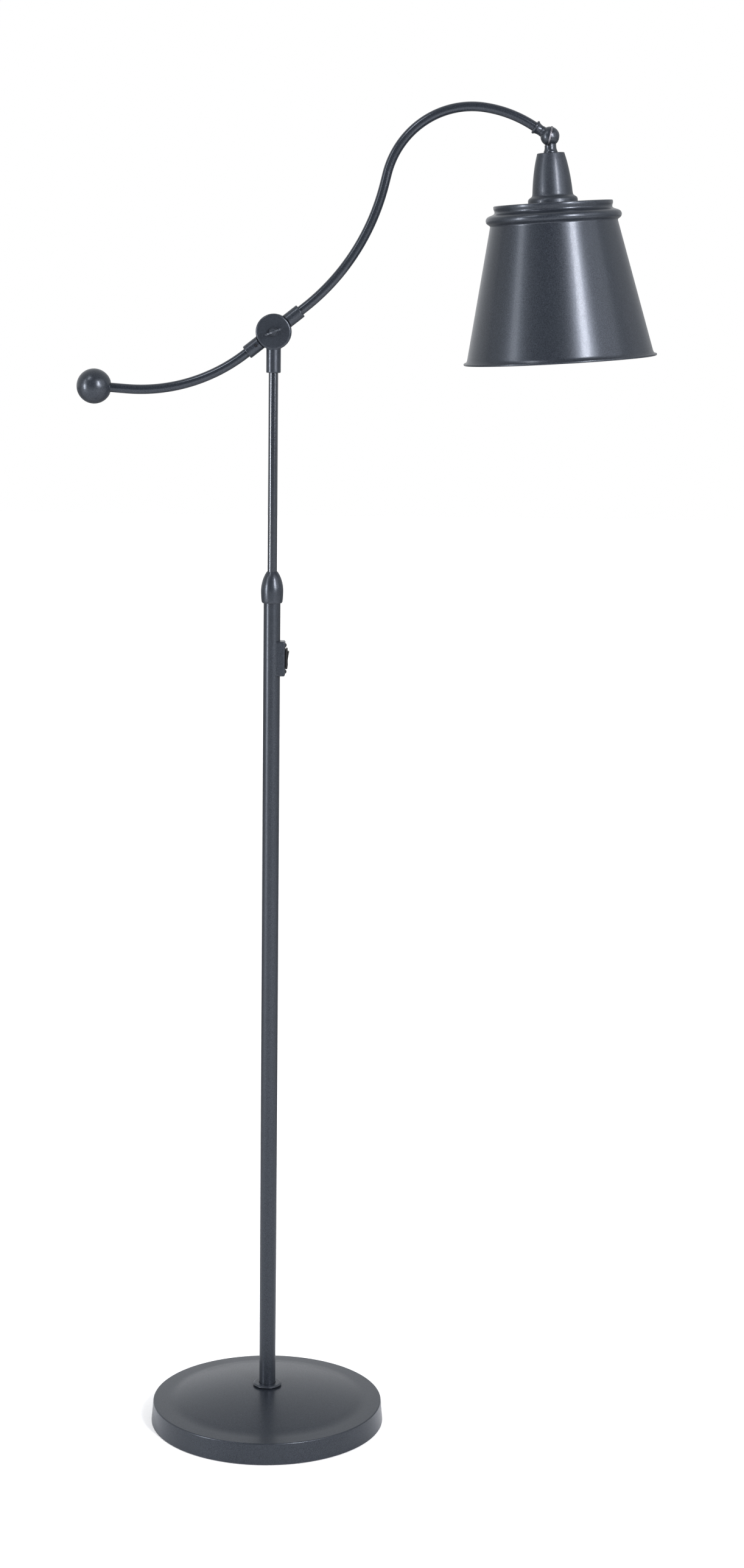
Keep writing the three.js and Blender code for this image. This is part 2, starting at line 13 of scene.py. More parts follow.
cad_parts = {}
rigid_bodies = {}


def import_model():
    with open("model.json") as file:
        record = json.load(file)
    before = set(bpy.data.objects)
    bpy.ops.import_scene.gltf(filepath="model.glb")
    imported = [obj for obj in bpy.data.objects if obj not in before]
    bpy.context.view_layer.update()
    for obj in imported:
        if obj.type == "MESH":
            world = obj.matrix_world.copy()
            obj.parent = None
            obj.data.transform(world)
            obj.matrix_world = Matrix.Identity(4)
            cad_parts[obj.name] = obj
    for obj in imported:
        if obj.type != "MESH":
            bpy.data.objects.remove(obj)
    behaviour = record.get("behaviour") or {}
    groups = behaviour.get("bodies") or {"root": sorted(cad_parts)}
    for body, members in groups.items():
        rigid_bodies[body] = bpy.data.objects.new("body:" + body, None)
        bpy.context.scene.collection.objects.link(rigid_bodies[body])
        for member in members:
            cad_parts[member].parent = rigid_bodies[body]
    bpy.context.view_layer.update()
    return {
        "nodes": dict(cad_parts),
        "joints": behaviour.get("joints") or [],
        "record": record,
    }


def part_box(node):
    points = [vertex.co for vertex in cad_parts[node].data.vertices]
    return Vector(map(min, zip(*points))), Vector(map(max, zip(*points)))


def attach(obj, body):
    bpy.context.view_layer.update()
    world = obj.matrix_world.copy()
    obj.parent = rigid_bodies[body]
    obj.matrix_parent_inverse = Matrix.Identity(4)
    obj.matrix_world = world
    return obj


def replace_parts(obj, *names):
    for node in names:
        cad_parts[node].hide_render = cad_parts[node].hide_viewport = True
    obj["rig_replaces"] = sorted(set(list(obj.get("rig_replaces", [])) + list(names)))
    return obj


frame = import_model()

MM = 0.001
GAP = 0.3  # play between pieces that touch
ROUND = 96  # sides of a small turned piece
WIDE_ROUND = 256  # sides of the base and the shade
ARC_STEPS = 6  # steps of a rounded corner
SMOOTH_BELOW = math.radians(32)  # faces that meet at less than this shade as one surface
ON_AXIS = 1e-6  # a smaller radius than this lies on the axis
BEND_STEP = 1.5  # degrees of a tube's bend between two rings

RECORD = frame["record"]
SLOT_OF = {part["node"]: part["material_slot"] for part in RECORD["subparts"]}
BODY_OF = {node: body for body, nodes in RECORD["behaviour"]["bodies"].items() for node in nodes}
JOINTS = {joint["name"]: joint for joint in frame["joints"]}


def low(node):
    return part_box(node)[0] / MM


def high(node):
    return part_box(node)[1] / MM


def middle(node):
    return (low(node) + high(node)) / 2


# Driving dimensions, most of them read off the frame
BASE_R = high("base_cover").x
BASE_TOP_Z = high("base_cover").z
BASE_RIM_Z = 25.2
BASE_RIM_R = BASE_R - 2.1
COVER_WALL = 1.0
DOME_R = 403.0
DOME_SPAN = (75.3, 87.4)  # degrees of the dome's own circle, from its edge to its top
BAND_END = (117.5, BASE_RIM_Z + 0.75)  # where the flat outer band gives way to the dome's step
NIPPLE_HOLE_R = 5.2
PAD_R = high("felt_pad").x
PAD_TOP = high("felt_pad").z
INLET_Z = middle("cord_inlet_bush").z
INLET_HOLE_R = 4.3
FOOT_RING_R = 16.6
FOOT_RING_H = 2.7

POLE_R = high("lower_tube").x
POLE_WALL = 1.2
POLE_TOP = high("lower_tube").z
TUBE_R = high("upper_tube").x
TUBE_WALL = 1.0
COLLAR_Z = low("coupling_collar").z
COLLAR_TOP = high("coupling_collar").z
COLLAR_R = 12.4  # at the top of its swell

SWITCH_Z = middle("switch_housing").z
SWITCH_FACE_X = high("switch_housing").x
WINDOW_W, WINDOW_H = 12.8, 19.2  # the opening behind the switch
SWITCH_SCREW_AT = 14.8  # above and below the switch's middle
SWITCH_SCREW_R = 1.2
ROCKER_W = 9.4
ROCKER_TILT = math.radians(5)

PIVOT = Vector(JOINTS["arm_tilt"]["pos_m"]) / MM
DISC_R = high("pivot_yoke").x
DISC_ROOM = 0.6  # between a disc's rim and the other half's sleeves
LAP = 0.8  # each half of the pivot stops this far from the lap plane
HALF_T = high("pivot_hub").y  # outside face of each half, from the lap plane
CAST_DEPTH = 12  # how far the pivot's cutting tools reach
SLEEVE_R = 7.7
SLEEVE_END = 37.0
MAST_SLEEVE_R = 8.0
MAST_SLEEVE_END = PIVOT.z - low("pivot_yoke").z
SOCKET_START = PIVOT.z - high("upper_tube").z  # a tube's end in its sleeve, from the pivot's centre
SET_SCREW_AT = 24.0
SET_SCREW_R = 1.7
SET_SCREW_OUT = 7.2  # the screw's outer end, from the tube's centre line
BOLT_R = 3.0
NUT_CORNERS, NUT_H = 11.5, 4.7
ARM_SLOPE = 38.2  # degrees, the arm sleeves' line above the horizontal
LEFT_SLOPE = ARM_SLOPE + 180
MAST_SLOPE = -90.0
WING_SLOPE = 22.0
WING_T = 2.0

KNUCKLE = Vector(JOINTS["shade_tilt"]["pos_m"]) / MM
SCREW_AXIS = Vector(JOINTS["shade_tilt"]["axis"])
ARM_AXIS = Vector(JOINTS["knuckle_swivel"]["axis"])
HEAD_TILT = 4.0  # degrees, the shade's lean from the vertical
HEAD_AXIS = Vector((math.sin(math.radians(HEAD_TILT)), 0, -math.cos(math.radians(HEAD_TILT))))
KNUCKLE_R = 10.3
KNUCKLE_REACH = 16.5  # from the arm tube's end to the knuckle's centre
SEAM = 1.3  # each half ball's face, from the knuckle's centre plane
RING_R = 11.0
SPIGOT_R = 5.7
NECK_R = 6.3
NECK_FOOT_R = 7.6
SCREW_SHANK_R = 2.0
SCREW_HEAD_R = 3.4
ARM_COLLAR_END = 5.2  # past the arm tube's end
BALL_R = (high("counterweight_ball").z - low("counterweight_ball").z) / 2 - 0.3
ARM_TUBE_R = TUBE_R - 0.1

CUP_TOP = 17.3  # heights in the head run down its axis from the knuckle's centre
CUP_WALL = 1.1
CUP_BORE_R = 5.2
CUP_FOOT_R = 26.9
SHADE_TOP = 70.4
SHADE_WALL = 0.8
SHADE_LIP_R = 64.6
SHADE_WAIST_R = 63.6
SHADE_BEAD = (68.6, SHADE_TOP + 15.4)  # centre of the bead's curve
SHADE_RIM = (103.9, SHADE_TOP + 167.2)  # centre of the rolled rim
SOCKET_R = 16.8
SOCKET_END = 84
SIDE_START = 40  # where the socket's straight side begins
CAP_R = 13.0
BULB_R = 30.0
BULB_CENTRE = 133.0


# ---------------------------------------------------------------- outlines

def eased(corners, steps=ARC_STEPS):
    """An outline of (x, y) or (x, y, radius) corners; a corner with a radius becomes an arc."""
    outline = []
    for i, (x, y, *radius) in enumerate(corners):
        here = Vector((x, y))
        if not radius:
            outline.append((x, y))
            continue
        inward = (Vector(corners[i - 1][:2]) - here).normalized()
        outward = (Vector(corners[(i + 1) % len(corners)][:2]) - here).normalized()
        half = inward.angle(outward) / 2
        centre = here + (inward + outward).normalized() * radius[0] / math.sin(half)
        reach = radius[0] / math.tan(half)
        start, end = here + inward * reach - centre, here + outward * reach - centre
        first = math.atan2(start.y, start.x)
        turn = (math.atan2(end.y, end.x) - first + math.pi) % (2 * math.pi) - math.pi
        for k in range(steps + 1):
            angle = first + turn * k / steps
            outline.append((
                centre.x + radius[0] * math.cos(angle),
                centre.y + radius[0] * math.sin(angle),
            ))
    return outline


def arc(centre, radius, from_deg, to_deg, steps):
    angles = (math.radians(from_deg + (to_deg - from_deg) * i / steps) for i in range(steps + 1))
    return [(centre[0] + radius * math.cos(a), centre[1] + radius * math.sin(a)) for a in angles]


def bezier(a, b, c, d, steps):
    """Points of the cubic curve from a to d."""
    points = []
    for i in range(steps + 1):
        t = i / steps
        u = 1 - t
        weights = (u ** 3, 3 * u * u * t, 3 * u * t * t, t ** 3)
        points.append(tuple(sum(w * p[k] for w, p in zip(weights, (a, b, c, d))) for k in (0, 1)))
    return points


def sheet(skin, wall):
    """The closed outline of a sheet: the given skin, and a second skin one wall to its left."""
    inner = []
    for i, (x, y) in enumerate(skin):
        before, after = skin[max(i - 1, 0)], skin[min(i + 1, len(skin) - 1)]
        course = Vector((after[0] - before[0], after[1] - before[1])).normalized()
        inner.append((x - course.y * wall, y + course.x * wall))
    return skin + inner[::-1]


# ---------------------------------------------------------------- meshes, in millimetres

def to_mesh(bm):
    bmesh.ops.recalc_face_normals(bm, faces=bm.faces)
    mesh = bpy.data.meshes.new("part")
    bm.to_mesh(mesh)
    bm.free()
    return mesh


def turned(outline, sides=ROUND, wave=None):
    """Turns a closed (radius, height) outline about Z.

    wave(radius, height, angle), where given, varies the radius.
    """
    bm = bmesh.new()
    rings = []
    for radius, height in outline:
        if radius < ON_AXIS:
            rings.append([bm.verts.new((0, 0, height))] * sides)
            continue
        ring = []
        for i in range(sides):
            angle = 2 * math.pi * i / sides
            r = wave(radius, height, angle) if wave else radius
            ring.append(bm.verts.new((r * math.cos(angle), r * math.sin(angle), height)))
        rings.append(ring)
    for lower, upper in zip(rings, rings[1:] + rings[:1]):
        for i in range(sides):
            j = (i + 1) % sides
            around = list(dict.fromkeys((lower[i], lower[j], upper[j], upper[i])))
            if len(around) > 2:
                bm.faces.new(around)
    return to_mesh(bm)


def bar(radius, start, end, sides=ROUND):
    return turned([(0, start), (radius, start), (radius, end), (0, end)], sides)


def prism(outline, start, end, place=Matrix()):
    """An (x, y) outline drawn out along Z from start to end."""
    bm = bmesh.new()
    ends = [[bm.verts.new((x, y, z)) for x, y in outline] for z in (start, end)]
    for cap in ends:
        bm.faces.new(cap)
    for i in range(len(outline)):
        j = (i + 1) % len(outline)
        bm.faces.new((ends[0][i], ends[0][j], ends[1][j], ends[1][i]))
    return placed(to_mesh(bm), place)


def block(lowest, highest):
    bm = bmesh.new()
    size = Vector(highest) - Vector(lowest)
    centre = (Vector(highest) + Vector(lowest)) / 2
    bmesh.ops.create_cube(bm, size=1, matrix=Matrix.Translation(centre) @ Matrix.Diagonal(size).to_4x4())
    return to_mesh(bm)


def rounded_box(lowest, highest, radius, segments=5):
    bm = bmesh.new()
    bm.from_mesh(block(lowest, highest))
    bmesh.ops.bevel(bm, geom=bm.edges[:], offset=radius, segments=segments, profile=0.5, affect="EDGES")
    return to_mesh(bm)


def placed(mesh, place):
    mesh.transform(place)
    return mesh


def joined(*meshes):
    """The meshes as loose shells of one mesh."""
    bm = bmesh.new()
    for mesh in meshes:
        bm.from_mesh(mesh)
    return to_mesh(bm)


def with_modifiers(mesh, *settings):
    """The mesh with modifiers applied, each given as (type, {property: value})."""
    scratch = bpy.data.objects.new("scratch", mesh)
    bpy.context.scene.collection.objects.link(scratch)
    for kind, values in settings:
        modifier = scratch.modifiers.new(kind, kind)
        for key, value in values.items():
            setattr(modifier, key, value)
    graph = bpy.context.evaluated_depsgraph_get()
    result = bpy.data.meshes.new_from_object(scratch.evaluated_get(graph))
    bpy.data.objects.remove(scratch)
    return result


def combined(operation, mesh, tools):
    for tool in tools:
        helper = bpy.data.objects.new("tool", tool)
        bpy.context.scene.collection.objects.link(helper)
        settings = {"operation": operation, "object": helper, "solver": "EXACT"}
        mesh = with_modifiers(mesh, ("BOOLEAN", settings))
        bpy.data.objects.remove(helper)
    return mesh


def cut(mesh, *tools):
    return combined("DIFFERENCE", mesh, tools)


def fused(mesh, *others):
    return combined("UNION", mesh, others)


def cast(voxel, passes, *meshes):
    """One skin over the meshes, with soft fillets where they meet, as in a casting.

    voxel is the skin's grid in mm; passes is how many times the skin is smoothed.
    """
    return with_modifiers(
        joined(*meshes),
        ("REMESH", {"mode": "VOXEL", "voxel_size": voxel}),
        ("SMOOTH", {"factor": 0.5, "iterations": passes}),
    )


def along(axis, origin=(0, 0, 0)):
    """The matrix that swings +Z onto an axis and moves the origin."""
    return Matrix.Translation(origin) @ Vector(axis).to_track_quat("Z", "Y").to_matrix().to_4x4()


def heading_axis(angle):
    """The axis in the XZ plane that climbs from +X by an angle in radians."""
    return Vector((math.cos(angle), 0, math.sin(angle)))


def slope_axis(degrees):
    return heading_axis(math.radians(degrees))


REAR, FRONT = Vector((0, 1, 0)), Vector((0, -1, 0))


class BentLine:
    """A centre line in the XZ plane, built of straight runs and bends that follow one another."""

    def __init__(self, distance, slope):
        """Starts at a distance from the pivot, heading straight away from it."""
        self.heading = math.radians(slope)
        self.at = PIVOT + slope_axis(slope) * distance
        self.stations = [(self.at, self.heading)]

    def straight(self, length):
        self.at = self.at + heading_axis(self.heading) * length
        self.stations.append((self.at, self.heading))
        return self

    def bend(self, radius, to_slope):
        """An arc of the given radius that ends at the given slope."""
        start, first = self.at, self.heading
        turn = math.radians(to_slope) - first
        steps = max(2, round(abs(math.degrees(turn)) / BEND_STEP))
        for i in range(1, steps + 1):
            half = turn * i / steps / 2
            chord = 2 * radius * math.sin(abs(half))
            self.at = start + heading_axis(first + half) * chord
            self.heading = first + 2 * half
            self.stations.append((self.at, self.heading))
        return self


def bent_tube(line, radius, wall, sides=64):
    """A round tube along a bent line, open through its bore."""
    bm = bmesh.new()
    skins = []
    for skin_radius in (radius, radius - wall):
        rings = []
        for at, heading in line.stations:
            up = Vector((-math.sin(heading), 0, math.cos(heading)))
            ring = []
            for i in range(sides):
                angle = 2 * math.pi * i / sides
                spoke = up * math.cos(angle) + REAR * math.sin(angle)
                ring.append(bm.verts.new(at + spoke * skin_radius))
            rings.append(ring)
        skins.append(rings)
    outer, inner = skins
    ends = [(outer[0], inner[0]), (outer[-1], inner[-1])]
    strips = [*zip(outer, outer[1:]), *zip(inner, inner[1:]), *ends]
    for first, second in strips:
        for i in range(sides):
            j = (i + 1) % sides
            bm.faces.new((first[i], first[j], second[j], second[i]))
    return to_mesh(bm)


# ---------------------------------------------------------------- finishes

def finish_material(name):
    """A new node material, its node tree, its main shader and the surface's own coordinates."""
    material = bpy.data.materials.new(name)
    material.use_nodes = True
    tree = material.node_tree
    shader = tree.nodes["Principled BSDF"]
    coordinates = tree.nodes.new("ShaderNodeTexCoord").outputs["Object"]
    return material, tree, shader, coordinates


def noise(tree, coordinates, size_mm, detail=3.0, roughness=0.5):
    """Fractal noise whose patches are about size_mm across."""
    node = tree.nodes.new("ShaderNodeTexNoise")
    node.inputs["Scale"].default_value = 1 / (size_mm * MM)
    node.inputs["Detail"].default_value = detail
    node.inputs["Roughness"].default_value = roughness
    tree.links.new(coordinates, node.inputs["Vector"])
    return node.outputs["Fac"]


def spread(tree, value, low_in, high_in, low_out, high_out):
    """Maps a value from one range to another, held at both ends."""
    node = tree.nodes.new("ShaderNodeMapRange")
    tree.links.new(value, node.inputs["Value"])
    keys = ("From Min", "From Max", "To Min", "To Max")
    for key, number in zip(keys, (low_in, high_in, low_out, high_out)):
        node.inputs[key].default_value = number
    return node.outputs["Result"]


def blend_colours(tree, factor, first, second):
    """Mixes two colours, or a socket and a colour, by a factor socket."""
    node = tree.nodes.new("ShaderNodeMix")
    node.data_type = "RGBA"
    tree.links.new(factor, node.inputs["Factor"])
    for key, colour in (("A", first), ("B", second)):
        socket = next(s for s in node.inputs if s.name == key and s.type == "RGBA")
        if isinstance(colour, bpy.types.NodeSocket):
            tree.links.new(colour, socket)
        else:
            socket.default_value = (*colour, 1)
    return next(s for s in node.outputs if s.type == "RGBA")


def dappled(tree, pattern, dark, light):
    """A colour that goes from dark to light with a noise pattern."""
    return blend_colours(tree, spread(tree, pattern, 0.3, 0.7, 0, 1), dark, light)


def bumped(tree, shader, height, distance_mm, strength):
    node = tree.nodes.new("ShaderNodeBump")
    node.inputs["Distance"].default_value = distance_mm * MM
    node.inputs["Strength"].default_value = strength
    tree.links.new(height, node.inputs["Height"])
    tree.links.new(node.outputs["Normal"], shader.inputs["Normal"])


PAINT_DARK, PAINT_LIGHT = (0.009, 0.011, 0.015), (0.029, 0.034, 0.043)
PAINT_CLOUD = (0.018, 0.022, 0.027)
PAINT_SHEEN = (0.90, 0.94, 1.0, 1)


def paint(name, smoothest, roughest, bump=0.2, film=0.08):
    """Blue-grey paint: a fine light and dark fleck under a soft clear film."""
    material, tree, shader, where = finish_material(name)
    fleck = noise(tree, where, 1.0, 4, 0.65)
    cloud = noise(tree, where, 35, 2)
    grain = noise(tree, where, 1.6, 3)
    sharp = spread(tree, fleck, 0.35, 0.65, 0, 1)
    ground = blend_colours(tree, sharp, PAINT_DARK, PAINT_LIGHT)
    tinted = blend_colours(tree, spread(tree, cloud, 0.35, 0.65, 0, 0.35), ground, PAINT_CLOUD)
    tree.links.new(tinted, shader.inputs["Base Color"])
    tree.links.new(spread(tree, grain, 0.3, 0.7, smoothest, roughest), shader.inputs["Roughness"])
    shader.inputs["Metallic"].default_value = 0.4
    shader.inputs["IOR"].default_value = 1.44
    shader.inputs["Specular Tint"].default_value = PAINT_SHEEN
    shader.inputs["Coat Weight"].default_value = film
    shader.inputs["Coat Roughness"].default_value = 0.13
    bumped(tree, shader, noise(tree, where, 0.8, 2), 0.02, bump)
    return material


def plain_metal(name, dark, light, roughness, metallic=1.0, brushed_mm=0.5):
    """Bare metal with fine scratches and a slight change of tone."""
    material, tree, shader, where = finish_material(name)
    scratches = noise(tree, where, brushed_mm, 6, 0.7)
    patches = noise(tree, where, 6, 2)
    tree.links.new(dappled(tree, patches, dark, light), shader.inputs["Base Color"])
    uneven = spread(tree, scratches, 0.3, 0.7, roughness - 0.07, roughness + 0.09)
    tree.links.new(uneven, shader.inputs["Roughness"])
    shader.inputs["Metallic"].default_value = metallic
    bumped(tree, shader, scratches, 0.02, 0.3)
    return material


def plastic(name, dark, light, roughness, grain_mm=0.25):
    """Moulded plastic with a fine spark-eroded grain."""
    material, tree, shader, where = finish_material(name)
    grain = noise(tree, where, grain_mm, 2)
    speckled = blend_colours(tree, spread(tree, grain, 0.35, 0.65, 0, 1), dark, light)
    tree.links.new(speckled, shader.inputs["Base Color"])
    uneven = spread(tree, grain, 0.3, 0.7, roughness - 0.05, roughness + 0.06)
    tree.links.new(uneven, shader.inputs["Roughness"])
    shader.inputs["Specular IOR Level"].default_value = 0.2
    bumped(tree, shader, grain, 0.02, 0.25)
    return material


def felt():
    """Pressed wool felt: matted fibres, rough and slightly fuzzy."""
    material, tree, shader, where = finish_material("black_felt")
    stretch = tree.nodes.new("ShaderNodeMapping")
    stretch.inputs["Scale"].default_value = (1, 0.22, 1)
    tree.links.new(where, stretch.inputs["Vector"])
    fibres = noise(tree, stretch.outputs["Vector"], 0.5, 6, 0.75)
    tufts = noise(tree, where, 3, 4)
    matted = dappled(tree, fibres, (0.012, 0.012, 0.013), (0.040, 0.040, 0.044))
    tree.links.new(matted, shader.inputs["Base Color"])
    tree.links.new(spread(tree, tufts, 0.3, 0.7, 0.85, 1.0), shader.inputs["Roughness"])
    shader.inputs["Sheen Weight"].default_value = 0.4
    shader.inputs["Sheen Roughness"].default_value = 0.6
    bumped(tree, shader, fibres, 0.25, 0.8)
    return material


def frosted_glass():
    """A lamp bulb's white-coated glass."""
    material, tree, shader, where = finish_material("frosted_glass")
    mottle = noise(tree, where, 5, 3)
    coating = dappled(tree, mottle, (0.80, 0.79, 0.75), (0.88, 0.87, 0.84))
    tree.links.new(coating, shader.inputs["Base Color"])
    tree.links.new(spread(tree, mottle, 0.3, 0.7, 0.16, 0.24), shader.inputs["Roughness"])
    shader.inputs["Coat Weight"].default_value = 0.6
    shader.inputs["Coat Roughness"].default_value = 0.08
    bumped(tree, shader, noise(tree, where, 0.4, 2), 0.01, 0.2)
    return material


FINISHES = {
    "painted_metal": paint("blue_grey_paint", 0.28, 0.35),
    "bright_steel": plain_metal("zinc_steel", (0.38, 0.39, 0.41), (0.52, 0.53, 0.55), 0.3),
    "iron": plain_metal("cast_iron", (0.030, 0.030, 0.032), (0.055, 0.053, 0.052), 0.7, 0.7, 1.5),
    "black_plastic": plastic("black_plastic", (0.003, 0.003, 0.0035), (0.006, 0.006, 0.0065), 0.45),
    "white_plastic": plastic("white_nylon", (0.62, 0.61, 0.58), (0.72, 0.71, 0.68), 0.45),
    "felt": felt(),
    "socket_brass": plain_metal("lamp_brass", (0.55, 0.40, 0.17), (0.70, 0.54, 0.26), 0.28),
    "frosted_glass": frosted_glass(),
}

glossy_tube = paint("glossy_tube_paint", 0.15, 0.19, bump=0.05)
dark_screw = plain_metal("blackened_steel", (0.035, 0.036, 0.040), (0.060, 0.062, 0.068), 0.4)
OWN_FINISH = {
    "socket_cup": paint("satin_cup_paint", 0.38, 0.45),
    "wing_knob": paint("matt_knob_paint", 0.5, 0.6),
    "upper_tube": paint("polished_tube_paint", 0.13, 0.16, bump=0.02, film=0.6),
    "left_arm_tube": glossy_tube,
    "right_arm_tube": glossy_tube,
    "left_set_screw": dark_screw,
    "right_set_screw": dark_screw,
    "mast_set_screw": dark_screw,
    "switch_screw_top": dark_screw,
    "switch_screw_bottom": dark_screw,
    "knuckle_ring": plain_metal("brushed_ring", (0.14, 0.14, 0.155), (0.21, 0.21, 0.23), 0.4),
}


def add_piece(node, mesh, place=Matrix()):
    """Stands a finished mesh in for a CAD node, on that node's body and with its finish."""
    mesh.transform(Matrix.Scale(MM, 4) @ place)
    mesh.materials.clear()
    mesh.materials.append(OWN_FINISH.get(node, FINISHES[SLOT_OF[node]]))
    mesh.shade_smooth()
    mesh.set_sharp_from_angle(angle=SMOOTH_BELOW)
    piece = bpy.data.objects.new(node + "_fine", mesh)
    bpy.context.scene.collection.objects.link(piece)
    normals = piece.modifiers.new("even_normals", "WEIGHTED_NORMAL")
    normals.keep_sharp = True
    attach(piece, BODY_OF[node])
    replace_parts(piece, node)


# ---------------------------------------------------------------- base

def base_cover():
    """The spun cover: leaning wall, small rolled rim, outer band, soft step and shallow dome."""
    dome = arc((0, BASE_TOP_Z - DOME_R), DOME_R, *DOME_SPAN, 18)
    edge_r, edge_z = dome[0]
    band_r, band_z = BAND_END
    wall = eased([(BASE_R - 6, 1), (BASE_R, 1), (BASE_RIM_R, BASE_RIM_Z, 1.5), BAND_END], 8)[1:-1]
    step = bezier(BAND_END, (band_r - 5, band_z + 0.3), (edge_r + 7, edge_z - 2.2), dome[0], 10)
    skin = [*wall, *step[:-1], *dome, (NIPPLE_HOLE_R, BASE_TOP_Z)]
    inlet = placed(bar(INLET_HOLE_R, 100, 140, 32), along(REAR, (0, 0, INLET_Z)))
    return cut(turned(sheet(skin, COVER_WALL), WIDE_ROUND), inlet)


def felt_pad():
    return turned(eased([(0, 0), (PAD_R, 0, 0.5), (PAD_R, PAD_TOP, 0.9), (0, PAD_TOP)]), WIDE_ROUND)


def cord_inlet():
    """A snap-in bush: barrel, flange with a rounded lip."""
    bore_r, barrel_r, flange_r = 2.6, 4, 6.4
    start, end = low("cord_inlet_bush").y, high("cord_inlet_bush").y
    flange = end - 1.5
    return turned(eased([
        (bore_r, start, 0.4),
        (barrel_r, start, 0.5),
        (barrel_r, flange),
        (flange_r, flange, 0.3),
        (flange_r, flange + 1.5, 0.9),
        (bore_r, flange + 1.5, 0.7),
    ]), 48)


def foot_ring():
    foot, bore = low("foot_ring").z, POLE_R + GAP
    top = foot + FOOT_RING_H
    return turned(eased([
        (bore, foot),
        (FOOT_RING_R - 1.7, foot),
        (FOOT_RING_R, foot + 0.9, 0.5),
        (FOOT_RING_R, foot + 1.6, 0.7),
        (FOOT_RING_R - 2, top, 0.9),
        (bore, top, 0.2),
    ]))


add_piece("base_cover", base_cover())
add_piece("felt_pad", felt_pad())
add_piece("cord_inlet_bush", cord_inlet(), along(REAR, (0, 0, INLET_Z)))
add_piece("foot_ring", foot_ring())


# ---------------------------------------------------------------- lower tube, coupling and switch

def switch_window():
    """The tool that opens the lower tube and the housing behind the switch."""
    return block((3, -WINDOW_W / 2, SWITCH_Z - WINDOW_H / 2), (20, WINDOW_W / 2, SWITCH_Z + WINDOW_H / 2))


def lower_tube():
    bore, foot = POLE_R - POLE_WALL, low("lower_tube").z
    corners = [(bore, foot), (POLE_R, foot, 0.2), (POLE_R, POLE_TOP, 0.3), (bore, POLE_TOP)]
    return cut(turned(eased(corners)), switch_window())


def coupling_collar():
    """The ogive collar over the top of the lower tube."""
    z = COLLAR_Z
    bore, bush_room, throat = POLE_R + GAP, 7.9, TUBE_R + 0.45
    bore_end, room_end = z + 22.3, z + 27.8
    swell = (COLLAR_R, z + 13)
    return turned([
        *eased([(bore, z), (11.0, z, 0.4), (11.8, z + 1.8)])[:-1],
        *bezier((11.65, z + 1.4), (12.1, z + 4.5), (12.35, z + 8.5), swell, 8)[:-1],
        *bezier(swell, (12.5, z + 21), (10, z + 28.6), (6.5, COLLAR_TOP - 0.6), 16),
        (6.1, COLLAR_TOP),
        (throat, COLLAR_TOP),
        (throat, room_end),
        (bush_room, room_end),
        (bush_room, bore_end),
        (bore, bore_end),
    ])


def switch_housing():
    """The saddle box that carries the switch."""
    box = rounded_box(low("switch_housing"), high("switch_housing"), 1.6)
    saddle = bar(POLE_R + GAP, SWITCH_Z - 30, SWITCH_Z + 30)
    heights = (SWITCH_Z + SWITCH_SCREW_AT, SWITCH_Z - SWITCH_SCREW_AT)
    holes = [placed(bar(SWITCH_SCREW_R + GAP, 10, 20, 32), along((1, 0, 0), (0, 0, z))) for z in heights]
    return cut(box, saddle, switch_window(), *holes)


def switch_body():
    """The rocker switch's case and its rounded bezel."""
    lo, hi = low("switch_body"), high("switch_body")
    flange = SWITCH_FACE_X + GAP
    half_w, half_h = WINDOW_W / 2 - GAP, WINDOW_H / 2 - GAP
    case = block((lo.x, -half_w, SWITCH_Z - half_h), (flange + 1, half_w, SWITCH_Z + half_h))
    bezel = rounded_box((flange, lo.y, lo.z), hi, 0.7)
    well_x, well_w, well_h = 10.2, 5.1, 9
    well = block((well_x, -well_w, SWITCH_Z - well_h), (30, well_w, SWITCH_Z + well_h))
    return cut(fused(bezel, case), well)


def switch_rocker():
    """The rocker, its dished face towards +X and its length along Y."""
    face, dish = 4.65, 3.75
    outline = [
        *eased([(-2, -8.2), (3.6, -8.4), (face, -8.2, 0.7)])[:-1],
        *bezier((face, -7.4), (dish, -3.4), (dish, 3.4), (face, 7.4), 16),
        *eased([(face, 6), (face, 8.3, 0.7), (3, 8.4), (-2, 8.2)])[1:],
    ]
    return prism(outline, -ROCKER_W / 2, ROCKER_W / 2)


def round_head_screw():
    """A slotted round-head screw, head towards +Z."""
    sphere, head, tip = 3.1, 1.4, -3.5
    screw = turned([
        (0, tip),
        (SWITCH_SCREW_R, tip),
        (SWITCH_SCREW_R, 0),
        *arc((0, head - sphere), sphere, 33.3, 89, 14),
        (0, head),
    ], 48)
    return cut(screw, block((-3, -0.28, 0.7), (3, 0.28, 3)))


add_piece("lower_tube", lower_tube())
add_piece("coupling_collar", coupling_collar())
add_piece("switch_housing", switch_housing())
add_piece("switch_body", switch_body())

rocker_tilted = Matrix.Rotation(ROCKER_TILT, 4, "Y") @ Matrix.Rotation(math.pi / 2, 4, "X")
rocker_place = Matrix.Translation(Vector(JOINTS["rocker_press"]["pos_m"]) / MM)
add_piece("switch_rocker", placed(switch_rocker(), rocker_tilted), rocker_place)
for node, slot_turn in (("switch_screw_top", 65), ("switch_screw_bottom", 20)):
    seat = along((1, 0, 0), (SWITCH_FACE_X + GAP, 0, middle(node).z))
    add_piece(node, round_head_screw(), seat @ Matrix.Rotation(math.radians(slot_turn), 4, "Z"))


# ---------------------------------------------------------------- upper tube and lap pivot

def upper_tube():
    start, end, bore = low("upper_tube").z, high("upper_tube").z, TUBE_R - TUBE_WALL
    return turned(eased([(bore, start), (TUBE_R, start, 0.2), (TUBE_R, end, 0.2), (bore, end)]), 64)


